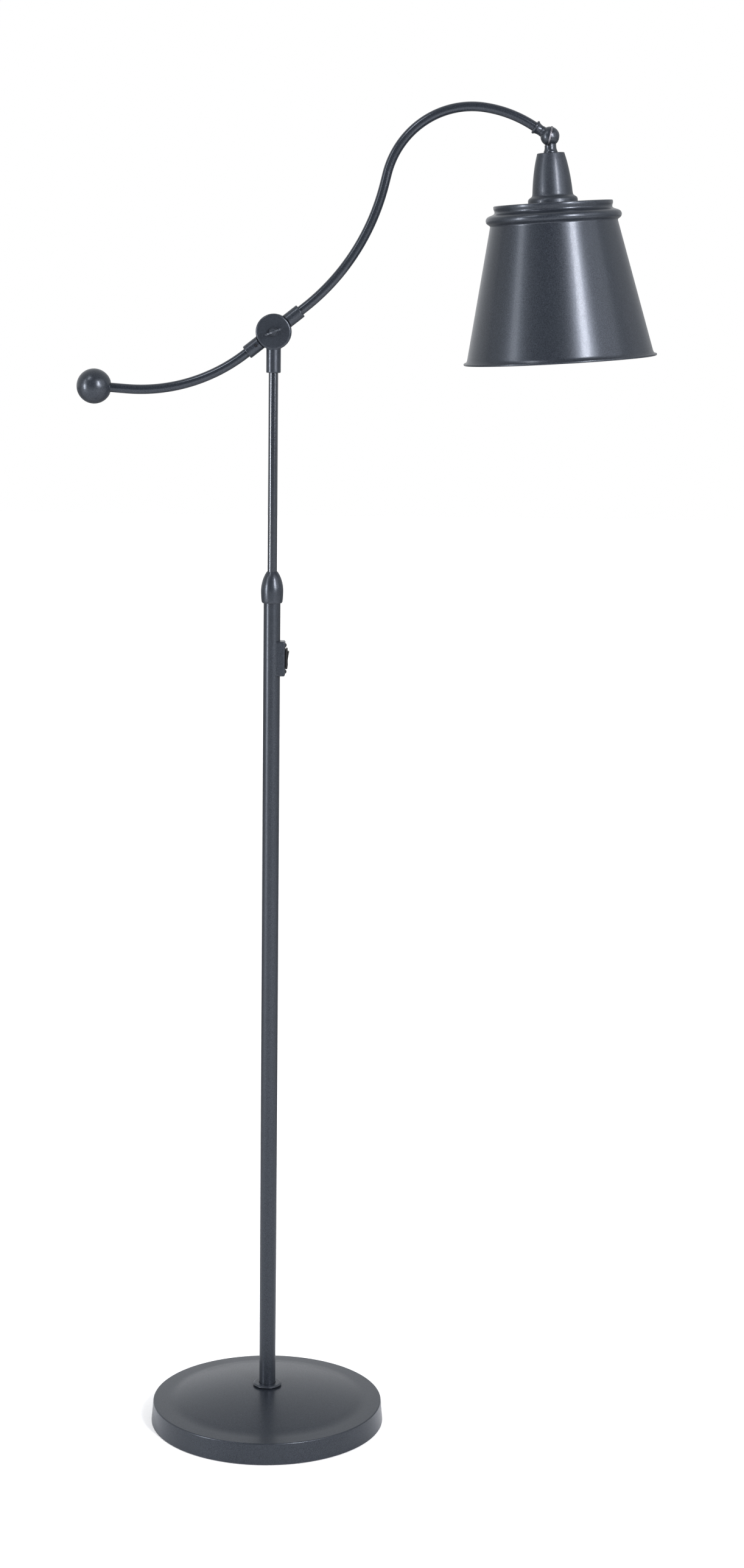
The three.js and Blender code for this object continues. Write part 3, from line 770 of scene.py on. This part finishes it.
def half_disc():
    """The plain disc of one half, its outside face towards +Z."""
    return turned(eased([(0, -6), (DISC_R, -6), (DISC_R, HALF_T, 2.2), (0, HALF_T)], 10), 128)


def sleeve(radius, end, slope):
    outline = eased([(0, 0), (radius, 0), (radius, end, 0.8), (0, end)])
    return placed(turned(outline, 72), along(slope_axis(slope)))


def tube_bore(slope):
    return placed(bar(TUBE_R + GAP, SOCKET_START - GAP, 60, 64), along(slope_axis(slope)))


def screw_hole(slope, face):
    tool = bar(SET_SCREW_R + 0.2, 4, CAST_DEPTH, 32)
    return placed(tool, along(face, slope_axis(slope) * SET_SCREW_AT))


def pivot_half(face, sleeves, bores):
    """A cast half disc with its sleeves, cut back to leave the other half its room."""
    skin = cast(0.4, 7, placed(half_disc(), along(face)), *sleeves)
    other_half = placed(bar(DISC_R + DISC_ROOM, -CAST_DEPTH, LAP, 128), along(face))
    bolt_hole = placed(bar(BOLT_R + GAP, -CAST_DEPTH, CAST_DEPTH, 48), along(face))
    return cut(skin, other_half, bolt_hole, *bores)


def pivot_yoke():
    mast_sleeve = sleeve(MAST_SLEEVE_R, MAST_SLEEVE_END, MAST_SLOPE)
    return pivot_half(FRONT, [mast_sleeve], [tube_bore(MAST_SLOPE), screw_hole(MAST_SLOPE, REAR)])


def pivot_hub():
    slopes = (ARM_SLOPE, LEFT_SLOPE)
    sleeves = [sleeve(SLEEVE_R, SLEEVE_END, slope) for slope in slopes]
    holes = [screw_hole(ARM_SLOPE, REAR), screw_hole(LEFT_SLOPE, FRONT)]
    return pivot_half(REAR, sleeves, [*holes, *map(tube_bore, slopes)])


def set_screw():
    """A hexagon-socket grub screw, its socket at the outer end."""
    tip, end = TUBE_R + GAP, SET_SCREW_OUT
    corners = [(0, tip), (SET_SCREW_R, tip, 0.2), (SET_SCREW_R, end, 0.25), (0, end)]
    return cut(turned(eased(corners), 48), bar(0.95, end - 1.2, 9, 6))


def wing_knob():
    """A cast thumb knob: a round boss with two flat wings, front towards +Z."""
    boss = turned(eased([(0, 0), (5, 0), (5, 1.7, 0.5), (4, 3, 0.5), (3.6, 6.5, 0.9), (0, 6.5)]), 64)
    half = [
        *bezier((3.4, 3), (10.2, 4), (10.6, 10), (9.4, 13), 10)[:-1],
        *bezier((9.4, 13), (8.5, 15), (6.8, 15.1), (4.5, 13.6), 6)[:-1],
        *bezier((4.5, 13.6), (3, 12.6), (1.2, 12.1), (0, 12.1), 6),
    ]
    outline = [*half, *((-x, y) for x, y in half[-2::-1])]
    wings = prism(outline, -WING_T / 2, WING_T / 2, Matrix.Rotation(math.pi / 2, 4, "X"))
    return cut(cast(0.16, 4, boss, wings), bar(BOLT_R, -2, 0.3))


def hex_nut(corners, bore, start, end):
    """A hexagon nut with chamfered corners."""
    radius, taper = corners / 2, 0.7
    rim = radius * 0.9
    envelope = turned([
        (0, start - 1),
        (rim, start - 1),
        (rim, start),
        (radius, start + taper),
        (radius, end - taper),
        (rim, end),
        (rim, end + 1),
        (0, end + 1),
    ])
    hexagon = combined("INTERSECT", bar(radius, start, end, 6), [envelope])
    return cut(hexagon, bar(bore, start - 1, end + 1, 48))


def pivot_bolt():
    start, end = -high("pivot_bolt").y, -low("pivot_bolt").y
    return turned(eased([(0, start), (BOLT_R, start, 0.5), (BOLT_R, end), (0, end)]), 48)


add_piece("upper_tube", upper_tube())
pivot_place = Matrix.Translation(PIVOT)
add_piece("pivot_yoke", pivot_yoke(), pivot_place)
add_piece("pivot_hub", pivot_hub(), pivot_place)
for node, slope, face in (
    ("mast_set_screw", MAST_SLOPE, REAR),
    ("right_set_screw", ARM_SLOPE, REAR),
    ("left_set_screw", LEFT_SLOPE, FRONT),
):
    add_piece(node, set_screw(), along(face, PIVOT + slope_axis(slope) * SET_SCREW_AT))

seat_y = HALF_T + GAP  # of the knob and of the nut, from the lap plane
knob_turned = Matrix.Rotation(math.radians(-WING_SLOPE), 4, "Y") @ along(FRONT)
add_piece("wing_knob", placed(wing_knob(), knob_turned), Matrix.Translation(PIVOT + FRONT * seat_y))
nut = hex_nut(NUT_CORNERS, BOLT_R + GAP, seat_y, seat_y + NUT_H)
add_piece("pivot_nut", nut, along(REAR, PIVOT))
add_piece("pivot_bolt", pivot_bolt(), along(FRONT, PIVOT))


# ---------------------------------------------------------------- arm

left_line = BentLine(SOCKET_START, LEFT_SLOPE).straight(16).bend(189, 176).straight(28)
right_line = BentLine(SOCKET_START, ARM_SLOPE)
right_line.straight(20.4).bend(241, 76.4).straight(11).bend(94, -7.5).bend(134, -31).straight(6)


def counterweight_ball():
    """The ball, bored for the arm tube towards +Z, with a small flat round the bore."""
    bore, flat, bottom = TUBE_R + GAP, 6.6, BALL_R - 12.0
    shell = arc((0, 0), BALL_R, math.degrees(math.acos(flat / BALL_R)), -90, 60)
    mouth = shell[0][1]
    return turned([
        *eased([(0, bottom), (bore, bottom), (bore, mouth), (flat, mouth, 0.3)])[:-1],
        *shell[1:-1],
        (0, -BALL_R),
    ], 128)


def lock_collar():
    """The locking collar at the arm's end, outward along +Z: a rounded ridge and a tapering skirt."""
    bore, spigot_bore, ridge = TUBE_R + GAP, 4.4, 7.4
    return turned([
        *eased([(bore, -3), (6.4, -3, 0.3), (ridge, -2.4, 0.5), (ridge, -0.8, 0.6), (6.3, 0.2)], 5)[:-1],
        *bezier((6.4, 0.1), (5.9, 1.2), (5.55, 2.6), (5.5, ARM_COLLAR_END - 0.3), 8),
        (5.2, ARM_COLLAR_END),
        (spigot_bore, ARM_COLLAR_END),
        (spigot_bore, GAP),
        (bore, GAP),
    ])


arm_end = KNUCKLE - ARM_AXIS * KNUCKLE_REACH
to_arm = -heading_axis(left_line.heading)
add_piece("left_arm_tube", bent_tube(left_line, ARM_TUBE_R, TUBE_WALL))
add_piece("right_arm_tube", bent_tube(right_line, ARM_TUBE_R, TUBE_WALL))
add_piece("counterweight_ball", counterweight_ball(), along(to_arm, middle("counterweight_ball")))
add_piece("arm_lock_collar", lock_collar(), along(ARM_AXIS, arm_end))


# ---------------------------------------------------------------- knuckle

def half_ball(sign):
    """Half of the knuckle's ball about the screw axis Z, on the side that sign says."""
    face = sign * SEAM
    edge = math.degrees(math.asin(SEAM / KNUCKLE_R))
    outline = [(0, face), *arc((0, 0), KNUCKLE_R, edge, 90, 24)[:-1], (0, KNUCKLE_R)]
    return turned([(r, abs(z) * sign) for r, z in outline], 96)


def knuckle_arm_half():
    """The arm's half ball and its spigot, which turns in the arm's end."""
    shoulder, end = KNUCKLE_REACH - ARM_COLLAR_END - 0.1, KNUCKLE_REACH + 6
    pin = 3.9
    spigot = turned(eased([
        (0, 4),
        (SPIGOT_R, 4),
        (SPIGOT_R, shoulder, 0.4),
        (pin, shoulder),
        (pin, end),
        (0, end),
    ]), 72)
    body = fused(placed(half_ball(-1), along(SCREW_AXIS)), placed(spigot, along(-ARM_AXIS)))
    head_room = placed(bar(20, -SEAM, 20, 48), along(SCREW_AXIS))
    screw_bore = placed(bar(SCREW_SHANK_R + 0.2, -6, 5, 32), along(SCREW_AXIS))
    return cut(body, head_room, screw_bore)


def knuckle_head_half():
    """The head's half ball and its flared neck."""
    foot = CUP_TOP - GAP
    neck = turned([
        (0, 6),
        (NECK_R, 6),
        *bezier((NECK_R, 11.0), (NECK_R, 13.4), (7.0, 15.0), (NECK_FOOT_R, foot - 0.9), 8),
        (NECK_FOOT_R, foot),
        (0, foot),
    ], 72)
    body = fused(placed(half_ball(1), along(SCREW_AXIS)), placed(neck, along(HEAD_AXIS)))
    arm_room = bar(KNUCKLE_R + 0.4, -20, SEAM, 72)
    ring_room = bar(RING_R + 0.6, -SEAM, SEAM, 72)
    screw_bore = bar(SCREW_SHANK_R + GAP, -2, 12, 32)
    screw_recess = bar(SCREW_HEAD_R + GAP, 5, 12, 48)
    tools = [placed(tool, along(SCREW_AXIS)) for tool in (arm_room, ring_room, screw_bore, screw_recess)]
    nipple_bore = placed(bar(CUP_BORE_R, 12, 20, 48), along(HEAD_AXIS))
    return cut(body, *tools, nipple_bore)


def knuckle_ring():
    bore = SCREW_SHANK_R + GAP
    return turned(eased([(bore, -1), (RING_R, -1, 0.4), (RING_R, 1, 0.4), (bore, 1)]))


def knuckle_screw():
    """A slotted screw whose head, towards +Z, is domed to the ball's own curve."""
    shank, tip, seat = SCREW_SHANK_R, -5.5, 5.1
    crown = KNUCKLE_R - 0.1
    dome = arc((0, 0), crown, math.degrees(math.acos(SCREW_HEAD_R / crown)), 90, 10)
    screw = turned([(0, tip), (shank, tip), (shank, seat), (SCREW_HEAD_R, seat), *dome], 64)
    slot = placed(block((-5, -0.4, 9), (5, 0.4, 12)), Matrix.Rotation(math.radians(40), 4, "Z"))
    return cut(screw, slot)


at_knuckle = Matrix.Translation(KNUCKLE)
add_piece("knuckle_arm_half", knuckle_arm_half(), at_knuckle)
add_piece("knuckle_head_half", knuckle_head_half(), at_knuckle)
add_piece("knuckle_ring", knuckle_ring(), along(SCREW_AXIS, KNUCKLE))
add_piece("knuckle_screw", knuckle_screw(), along(SCREW_AXIS, KNUCKLE))


# ---------------------------------------------------------------- head

head_place = along(HEAD_AXIS, KNUCKLE)


def socket_cup():
    """The bell-shaped cup over the socket, with a rounded foot on the shade."""
    top = CUP_TOP
    shoulder = (15.3, top + 2.6)
    foot = (CUP_FOOT_R, top + 50.4)
    skin = [
        (CUP_BORE_R, top),
        *eased([(CUP_BORE_R, top), (14.6, top, 1.3), shoulder])[1:-1],
        *bezier(shoulder, (18.6, top + 14), (20.8, top + 28), (21.8, top + 42.5), 20),
        *bezier((22.2, top + 44.5), (22.8, top + 46.6), (CUP_FOOT_R, top + 46.6), foot, 10),
        (CUP_FOOT_R, SHADE_TOP - GAP),
    ]
    return turned(sheet(skin, CUP_WALL), 128)


def shade():
    """The spun shade: flat top, lip, waist, bead, valley, straight cone and rolled rim."""
    top = SHADE_TOP
    lip = (SHADE_LIP_R, top + 2.2)
    waist = (SHADE_WAIST_R, top + 6.8)
    valley = (69.3, top + 22.8)
    cone_end = (101, top + 162)
    skin = [
        (SOCKET_R + 0.6, top),
        *eased([(60, top), (SHADE_LIP_R, top, 1.2), lip])[1:-1],
        *bezier(lip, (SHADE_LIP_R, top + 4.2), (SHADE_WAIST_R, top + 4.8), waist, 6)[:-1],
        *bezier(waist, (SHADE_WAIST_R, top + 9.4), (69.2, top + 9.6), (71.8, top + 11.6), 8)[:-1],
        *arc(SHADE_BEAD, 4.9, -49, 38, 10),
        *bezier((71.4, top + 19.3), (69.6, top + 20.6), (68.8, top + 20.6), valley, 6)[1:],
        *bezier(valley, (79.9, top + 69.5), (90.6, top + 116.3), cone_end, 24)[1:],
        *bezier(cone_end, (101.5, top + 164.4), (102.8, top + 165.8), (103.9, top + 167.5), 6)[1:],
        *arc(SHADE_RIM, 0.6, 60, -150, 12),
    ]
    return turned(sheet(skin, SHADE_WALL), WIDE_ROUND)


def fine_side(radius, start, end, step):
    """Points up a straight side after its start, close enough together to carry a thread."""
    return [(radius, start + step * i) for i in range(1, round((end - start) / step) + 1)]


def thread(crest_r, start, end, pitch, depth):
    """The wave, for turned(), of a rolled thread between two heights of the side at crest_r."""
    def wave(radius, height, angle):
        if radius < crest_r - 0.1 or not start < height < end:
            return radius
        return radius - depth / 2 + depth / 2 * math.cos(2 * math.pi * height / pitch - angle)

    return wave


def socket_body():
    """The moulded lampholder, with a coarse thread for the shade ring at its mouth."""
    start, mouth, floor, bore, screw_hole_r = 24, 14.6, 50, 5.2, 4
    return turned([
        (bore, start),
        (12.6, start),
        (14.2, start + 3),
        (16.2, start + 12),
        (SOCKET_R, SIDE_START),
        *fine_side(SOCKET_R, SIDE_START, SOCKET_END, 0.4),
        (mouth, SOCKET_END),
        (mouth, floor),
        (screw_hole_r, floor),
        (screw_hole_r, start + 6),
        (bore, start + 6),
    ], 72, thread(SOCKET_R, 74, 83.5, 2.5, 0.7))


def shade_ring():
    """The ribbed ring that holds the shade on the socket."""
    outside, bore, ribs, rib_depth = 22, SOCKET_R + 0.4, 36, 0.5
    start, end = SHADE_TOP + SHADE_WALL + GAP, 76

    def ribbed(radius, _height, angle):
        if radius <= outside - rib_depth:
            return radius
        return radius - rib_depth * (0.5 + 0.5 * math.cos(ribs * angle))

    corners = [(bore, start, 0.2), (outside, start, 0.5), (outside, end, 0.5), (bore, end, 0.3)]
    return turned(eased(corners), 288, ribbed)


def bulb_cap():
    """The bulb's screw cap: contact, insulator and a rolled thread."""
    start, skirt, skirt_end, end, glass_r = 52, 58, 80, 85, 11.2
    return turned([
        (0, start),
        (4.5, start),
        (5.2, start + 2),
        (9.5, start + 4),
        (CAP_R, skirt),
        *fine_side(CAP_R, skirt, skirt_end, 0.25),
        (glass_r, skirt_end),
        (glass_r, end),
        (0, end),
    ], 72, thread(CAP_R, 58.5, 79.5, 3.6, 0.8))


def bulb_glass():
    """The pear-shaped glass, round end down the head's axis."""
    def skin(wall):
        neck, radius = 12.4 - wall, BULB_R - wall
        side = bezier((neck, 84), (neck + 0.6, 100), (radius, 112), (radius, BULB_CENTRE), 20)
        round_end = arc((0, BULB_CENTRE), radius, 4, 86, 20)
        return [(neck, 80.3), *side, *round_end, (0, BULB_CENTRE + radius)]

    return turned(skin(0) + skin(0.8)[::-1], 128)


add_piece("socket_cup", socket_cup(), head_place)
add_piece("shade", shade(), head_place)
add_piece("socket_body", socket_body(), head_place)
add_piece("shade_ring", shade_ring(), head_place)
add_piece("bulb_cap", bulb_cap(), head_place)
add_piece("bulb_glass", bulb_glass(), head_place)


# ---------------------------------------------------------------- hidden works, kept as packed

stood_for = {node for piece in bpy.context.scene.objects for node in piece.get("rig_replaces", [])}
for node, kept in frame["nodes"].items():
    if node not in stood_for:
        kept.data.materials.clear()
        kept.data.materials.append(FINISHES[SLOT_OF[node]])


# ---------------------------------------------------------------- floor, light and camera

CAMERA_AT = (0.1131, -3.150, 1.3294)  # metres
CAMERA_LENS = 65.67  # mm, on a 36 mm sensor
CAMERA_PITCH = 79.644  # degrees up from straight down
CAMERA_ROLL = 0.72  # degrees
COOL_WHITE = (0.94, 0.955, 1.0)


def calculate(tree, operation, first, second):
    """A math node: each side is a socket or a number."""
    node = tree.nodes.new("ShaderNodeMath")
    node.operation = operation
    for socket, value in zip(node.inputs, (first, second)):
        if isinstance(value, bpy.types.NodeSocket):
            tree.links.new(value, socket)
        else:
            socket.default_value = value
    return node.outputs["Value"]


def ray_is(tree, kind):
    return tree.nodes.new("ShaderNodeLightPath").outputs[f"Is {kind} Ray"]


def parts_of(tree, vector):
    split = tree.nodes.new("ShaderNodeSeparateXYZ")
    tree.links.new(vector, split.inputs["Vector"])
    return split.outputs


def vector_measure(tree, operation, first, second=(0, 0, 0)):
    """The number that a vector math node makes of a vector socket and a fixed vector."""
    node = tree.nodes.new("ShaderNodeVectorMath")
    node.operation = operation
    tree.links.new(first, node.inputs[0])
    node.inputs[1].default_value = second
    return node.outputs["Value"]


def studio_floor():
    """A white floor; the lamp's own gloss mirrors it darker behind the lamp."""
    bm = bmesh.new()
    bmesh.ops.create_grid(bm, x_segments=8, y_segments=8, size=12)
    floor = bpy.data.objects.new("studio_floor", to_mesh(bm))
    bpy.context.scene.collection.objects.link(floor)
    material, tree, shader, where = finish_material("pale_floor")
    pale = dappled(tree, noise(tree, where, 4), (0.76, 0.76, 0.76), (0.79, 0.79, 0.79))
    behind = spread(tree, parts_of(tree, where)["Y"], 0.2, 0.6, 0, 0.7)
    dimmed = calculate(tree, "MULTIPLY", behind, ray_is(tree, "Glossy"))
    tree.links.new(blend_colours(tree, dimmed, pale, (0, 0, 0)), shader.inputs["Base Color"])
    shader.inputs["Roughness"].default_value = 0.9
    shader.inputs["Emission Color"].default_value = (1, 1, 1, 1)
    glow = spread(tree, vector_measure(tree, "LENGTH", where), 1.0, 4.5, 0.04, 0.5)
    seen = calculate(tree, "MULTIPLY", ray_is(tree, "Camera"), 0.12)
    kept = calculate(tree, "MULTIPLY", glow, calculate(tree, "SUBTRACT", 1, dimmed))
    tree.links.new(calculate(tree, "ADD", kept, seen), shader.inputs["Emission Strength"])
    floor.data.materials.append(material)


def softbox(name, location, target, width, height, power, colour):
    """A rectangular soft light, aimed at the target, invisible to the camera."""
    data = bpy.data.lights.new(name, "AREA")
    data.shape = "RECTANGLE"
    data.size = width
    data.size_y = height
    data.energy = power
    data.color = colour
    light = bpy.data.objects.new(name, data)
    bpy.context.scene.collection.objects.link(light)
    light.location = location
    light.rotation_euler = (Vector(target) - Vector(location)).to_track_quat("-Z", "Y").to_euler()
    light.visible_camera = False


def studio_world():
    """A white room: bright behind and beside the lamp, dim on the camera's side.

    Reflections see its right rear corner a little darker.
    """
    world = bpy.data.worlds.new("studio")
    world.use_nodes = True
    tree = world.node_tree
    direction = tree.nodes.new("ShaderNodeTexCoord").outputs["Generated"]
    level = spread(tree, parts_of(tree, direction)["Y"], -0.7, 0.25, 0.10, 1.0)
    to_corner = vector_measure(tree, "DOT_PRODUCT", direction, (0.6, 0.8, 0))
    right_rear = spread(tree, to_corner, 0.75, 0.95, 0, 0.35)
    dimmed = calculate(tree, "MULTIPLY", right_rear, ray_is(tree, "Glossy"))
    level = calculate(tree, "MULTIPLY", level, calculate(tree, "SUBTRACT", 1, dimmed))
    background = tree.nodes["Background"]
    background.inputs["Color"].default_value = (1, 1, 1, 1)
    shown = calculate(tree, "MAXIMUM", level, ray_is(tree, "Camera"))
    tree.links.new(shown, background.inputs["Strength"])
    bpy.context.scene.world = world


def studio_camera():
    """The viewpoint: chest height, pitched down ten degrees and rolled slightly."""
    data = bpy.data.cameras.new("camera")
    data.lens = CAMERA_LENS
    data.sensor_width = 36
    camera = bpy.data.objects.new("camera", data)
    bpy.context.scene.collection.objects.link(camera)
    camera.location = CAMERA_AT
    pitch = Euler((math.radians(CAMERA_PITCH), 0, 0)).to_matrix()
    roll = Matrix.Rotation(math.radians(CAMERA_ROLL), 3, "Z")
    camera.rotation_euler = (pitch @ roll).to_euler()
    bpy.context.scene.camera = camera


studio_floor()
studio_world()
softbox("key_left", (-3.1, -1.75, 1.1), (0.0, 0, 1.0), 0.5, 1.5, 110, COOL_WHITE)
softbox("high_left", (-3.2, -1.6, 2.8), (0.0, 0, 1.2), 0.7, 1.4, 26, COOL_WHITE)
softbox("top_left", (-1.3, -1.3, 3.3), (0.0, 0, 1.2), 0.6, 0.9, 20, COOL_WHITE)
softbox("key_right", (1.8, -2.7, 2.2), (0.2, 0, 1.3), 0.55, 1.8, 184, (0.96, 0.955, 1.0))
softbox("low_right", (2.3, -2.0, 1.35), (0.0, 0, 1.2), 0.3, 0.7, 12, COOL_WHITE)
softbox("fill_right", (3.0, -1.2, 2.4), (0.2, 0, 1.2), 1.4, 2.4, 22, (0.94, 0.95, 1.0))
studio_camera()
bpy.context.scene.view_settings.view_transform = "Standard"
